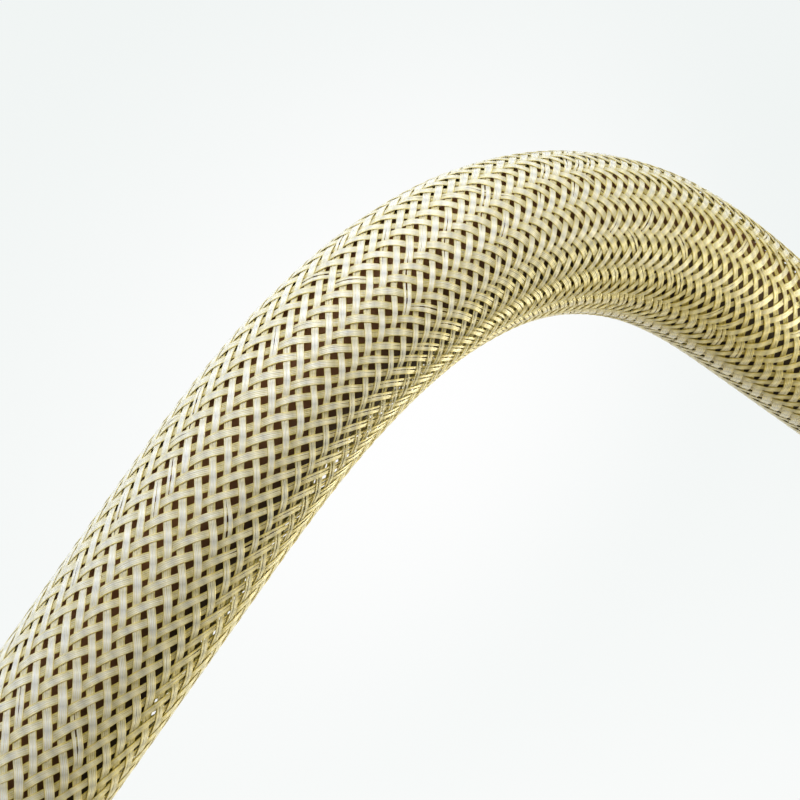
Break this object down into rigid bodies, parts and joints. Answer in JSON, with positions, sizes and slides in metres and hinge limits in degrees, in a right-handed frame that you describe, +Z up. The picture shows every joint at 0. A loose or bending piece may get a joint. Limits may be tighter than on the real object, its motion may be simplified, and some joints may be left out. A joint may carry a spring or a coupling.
{
  "type": "braided cable sleeve",
  "caption": "Woven monofilament cable sleeve in a golden cream colour over a smooth brown inner tube, lying flat in one right-angle bend, open at both cut ends.",
  "frame": {"origin": "bottom centre of the bounding box, on the surface that the sleeve lies on", "axes": "+Z up; the first leg runs along +Y from its cut end and the bend turns the sleeve towards +X"},
  "size_m": [0.1718, 0.1864, 0.02],
  "materials": {
    "braid": "translucent golden monofilament, glossy",
    "liner": "smooth brown, satin"
  },
  "bodies": {
    "root": {"braid_sleeve": "braid", "inner_tube": "liner"}
  },
  "joints": []
}
